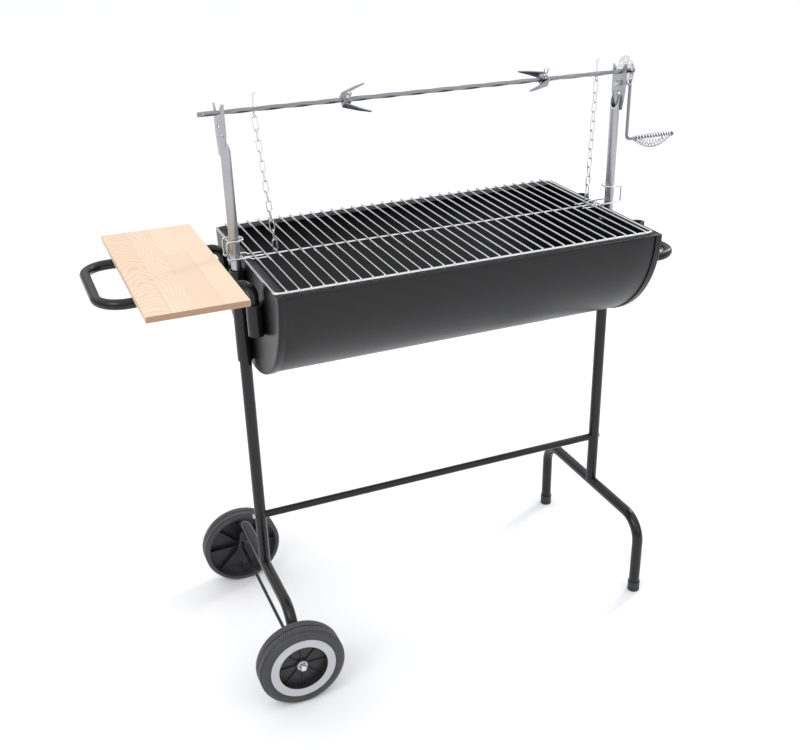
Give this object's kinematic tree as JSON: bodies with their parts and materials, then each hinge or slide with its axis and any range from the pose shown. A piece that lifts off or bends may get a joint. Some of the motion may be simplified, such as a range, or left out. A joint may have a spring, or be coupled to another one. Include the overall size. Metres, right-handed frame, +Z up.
{
  "type": "charcoal spit barbecue",
  "caption": "Half-barrel charcoal barbecue on a wheeled tube frame, with a hand-cranked spit, a chain-hung cooking grid, spit forks and a wooden side tray.",
  "frame": {"origin": "On the floor, under the middle of the whole barbecue's length and width.", "axes": "+Z up, +X along the trough from the wheel end to the crank end, -Y the front."},
  "size_m": [1.0431, 0.4242, 0.987],
  "materials": {
    "black_enamel": "satin black paint",
    "black_paint": "semi-gloss black paint",
    "bright_tube": "bright plated tube",
    "zinc": "zinc plated",
    "chrome": "chrome plated wire",
    "bright_steel": "bright drawn steel",
    "black_plastic": "moulded black plastic",
    "grey_plastic": "moulded grey plastic",
    "pine": "varnished pine"
  },
  "bodies": {
    "frame": {"trough_shell": "black_enamel", "end_plate_left": "black_enamel", "end_plate_right": "black_enamel", "sleeve_bolts_left": "zinc", "sleeve_bolts_right": "zinc", "sleeve_left": "black_paint", "sleeve_right": "black_paint", "leg_left": "black_paint", "leg_right": "black_paint", "post_left": "bright_tube", "post_right": "bright_tube", "foot_left": "black_paint", "foot_right": "black_paint", "foot_caps": "black_plastic", "brace": "black_paint", "brace_plugs": "black_plastic", "brace_screws": "zinc", "axle": "bright_tube", "axle_nuts": "chrome", "axle_washers": "zinc", "handle_left": "black_paint", "handle_right": "black_paint", "sockets_left": "black_paint", "sockets_right": "black_paint", "bushes_left": "black_plastic", "bushes_right": "black_plastic", "tray_board": "pine", "tray_clips": "black_paint", "tray_screws": "zinc", "latch_bolt": "zinc", "chain_left": "chrome", "chain_right": "chrome"},
    "front_wheel": {"tyre_front": "black_plastic", "hub_front": "black_plastic", "hub_ring_front": "grey_plastic"},
    "rear_wheel": {"tyre_rear": "black_plastic", "hub_rear": "black_plastic", "hub_ring_rear": "grey_plastic"},
    "grid": {"grid_rim": "chrome", "grid_cross_wires": "chrome", "grid_centre_wire": "chrome", "guide_left": "chrome", "guide_right": "chrome", "snap_hook_left": "chrome", "snap_hook_right": "chrome"},
    "spit": {"spit_rod": "bright_steel", "index_disc": "chrome", "crank": "black_paint", "chain_pin_left": "chrome", "chain_pin_right": "chrome"},
    "grip": {"crank_grip": "chrome"},
    "left_fork": {"fork_left": "bright_steel"},
    "left_thumb_screw": {"thumb_screw_left": "bright_steel"},
    "right_fork": {"fork_right": "bright_steel"},
    "right_thumb_screw": {"thumb_screw_right": "bright_steel"}
  },
  "joints": [
    {"name": "front_wheel_spin", "type": "hinge", "parent": "frame", "child": "front_wheel", "pos_m": [-0.28811, -0.193, 0.075], "axis": [0, 1, 0], "continuous": true},
    {"name": "rear_wheel_spin", "type": "hinge", "parent": "frame", "child": "rear_wheel", "pos_m": [-0.28811, 0.193, 0.075], "axis": [0, 1, 0], "continuous": true},
    {"name": "spit_turn", "type": "hinge", "parent": "frame", "child": "spit", "pos_m": [0.05444, 0, 0.962], "axis": [1, 0, 0], "range_deg": [0, 1080]},
    {"name": "grid_lift", "type": "slide", "parent": "frame", "child": "grid", "axis": [0, 0, 1], "range_m": [0, 0.1226], "deforming": ["chain_left", "chain_right"]},
    {"name": "grip_spin", "type": "hinge", "parent": "spit", "child": "grip", "pos_m": [0.47444, 0, 0.844], "axis": [1, 0, 0], "continuous": true},
    {"name": "left_fork_slide", "type": "slide", "parent": "spit", "child": "left_fork", "axis": [1, 0, 0], "range_m": [-0.115, 0.11]},
    {"name": "right_fork_slide", "type": "slide", "parent": "spit", "child": "right_fork", "axis": [1, 0, 0], "range_m": [-0.12, 0.07]},
    {"name": "left_thumb_screw_turn", "type": "hinge", "parent": "left_fork", "child": "left_thumb_screw", "pos_m": [-0.09256, -0.0063, 0.96693], "axis": [0, -0.788, 0.6157], "continuous": true},
    {"name": "right_thumb_screw_turn", "type": "hinge", "parent": "right_fork", "child": "right_thumb_screw", "pos_m": [0.25344, -0.00412, 0.96886], "axis": [0, -0.515, 0.8572], "continuous": true}
  ],
  "couplings": [
    {"joint": "grid_lift", "follows": "spit_turn", "m_per_rad": 0.0065}
  ]
}
